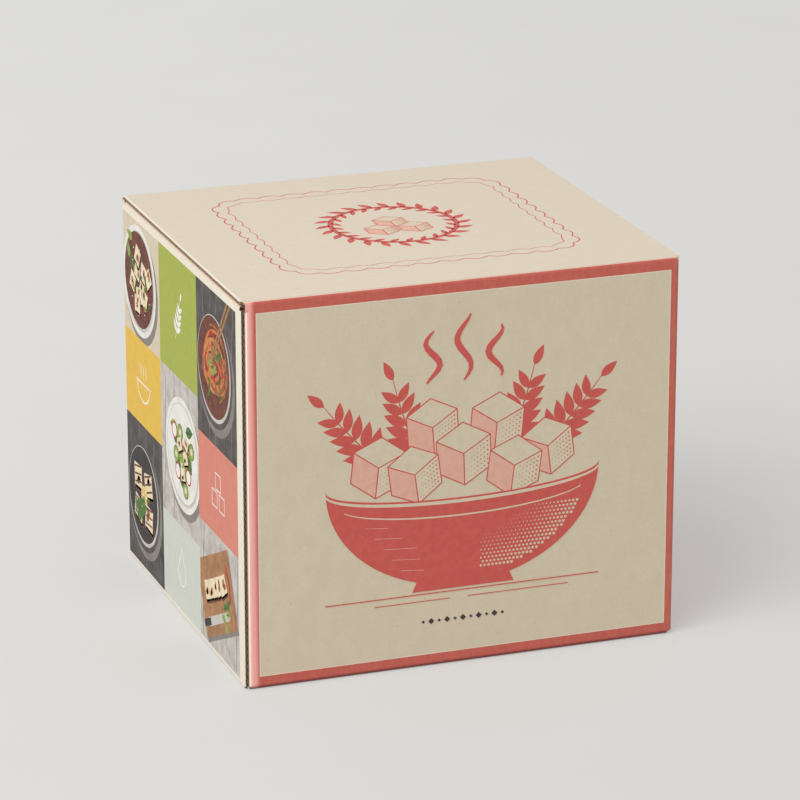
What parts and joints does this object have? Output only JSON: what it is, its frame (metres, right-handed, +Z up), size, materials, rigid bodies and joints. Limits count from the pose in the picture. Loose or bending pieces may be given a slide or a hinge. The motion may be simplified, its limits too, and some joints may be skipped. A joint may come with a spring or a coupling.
{
  "type": "boxed tofu press",
  "caption": "Closed corrugated tuck-top carton that holds a spring tofu press with a clear container, inner basket, latched lid, knob and sprung pressure plate.",
  "frame": {"origin": "under the middle of the carton's bottom", "axes": "+X towards the right side panel, -Y towards the printed front panel, +Z up"},
  "size_m": [0.195, 0.175, 0.171],
  "materials": {
    "carton_board": "matte",
    "lid_board": "matte",
    "flap_board": "matte",
    "clear_plastic": "gloss",
    "coral_plastic": "satin",
    "pale_plastic": "satin",
    "dark_coral_plastic": "satin",
    "grey_rubber": "matte",
    "spring_steel": "satin"
  },
  "bodies": {
    "carton": {"carton_wrap": "carton_board", "container": "clear_plastic", "basket": "coral_plastic", "foot_pad_1": "grey_rubber", "foot_pad_2": "grey_rubber", "foot_pad_3": "grey_rubber", "foot_pad_4": "grey_rubber", "lid": "pale_plastic", "lid_liner": "coral_plastic", "lid_seal": "grey_rubber", "knob_housing": "pale_plastic", "knob_ring": "dark_coral_plastic", "collar": "coral_plastic", "spring_guide": "pale_plastic", "main_spring": "spring_steel", "front_pin": "spring_steel", "right_pin": "spring_steel", "rear_pin": "spring_steel", "left_pin": "spring_steel"},
    "top_panel": {"top_panel": "lid_board"},
    "top_tuck": {"top_tuck": "flap_board"},
    "left_dust": {"left_dust": "flap_board"},
    "right_dust": {"right_dust": "flap_board"},
    "plunger": {"column": "coral_plastic", "pressure_plate": "coral_plastic"},
    "front_latch": {"front_latch": "coral_plastic"},
    "right_latch": {"right_latch": "coral_plastic"},
    "rear_latch": {"rear_latch": "coral_plastic"},
    "left_latch": {"left_latch": "coral_plastic"}
  },
  "joints": [
    {"name": "top_open", "type": "hinge", "parent": "carton", "child": "top_panel", "pos_m": [0, -0.08706, 0.17056], "axis": [1, 0, 0], "range_deg": [0, 110]},
    {"name": "tuck_fold", "type": "hinge", "parent": "top_panel", "child": "top_tuck", "pos_m": [0, 0.0835, 0.1695], "axis": [-1, 0, 0], "range_deg": [0, 55]},
    {"name": "left_dust_fold", "type": "hinge", "parent": "carton", "child": "left_dust", "pos_m": [-0.09686, 0, 0.16856], "axis": [0, -1, 0], "range_deg": [0, 44]},
    {"name": "right_dust_fold", "type": "hinge", "parent": "carton", "child": "right_dust", "pos_m": [0.09686, 0, 0.16856], "axis": [0, 1, 0], "range_deg": [0, 44]},
    {"name": "plate_slide", "type": "slide", "parent": "carton", "child": "plunger", "axis": [0, 0, 1], "range_m": [0, 0.029], "stiffness_N_per_m": 600, "springref_m": -0.012, "deforming": ["main_spring"]},
    {"name": "front_latch_hinge", "type": "hinge", "parent": "carton", "child": "front_latch", "pos_m": [0, -0.07025, 0.1249], "axis": [-1, 0, 0], "range_deg": [0, 12]},
    {"name": "right_latch_hinge", "type": "hinge", "parent": "carton", "child": "right_latch", "pos_m": [0.07905, 0, 0.1249], "axis": [0, -1, 0], "range_deg": [0, 12]},
    {"name": "rear_latch_hinge", "type": "hinge", "parent": "carton", "child": "rear_latch", "pos_m": [0, 0.07025, 0.1249], "axis": [1, 0, 0], "range_deg": [0, 12]},
    {"name": "left_latch_hinge", "type": "hinge", "parent": "carton", "child": "left_latch", "pos_m": [-0.07905, 0, 0.1249], "axis": [0, 1, 0], "range_deg": [0, 12]}
  ],
  "couplings": [
    {"joint": "tuck_fold", "follows": "top_open", "ratio": 0.5},
    {"joint": "left_dust_fold", "follows": "top_open", "ratio": 0.4},
    {"joint": "right_dust_fold", "follows": "top_open", "ratio": 0.4}
  ]
}
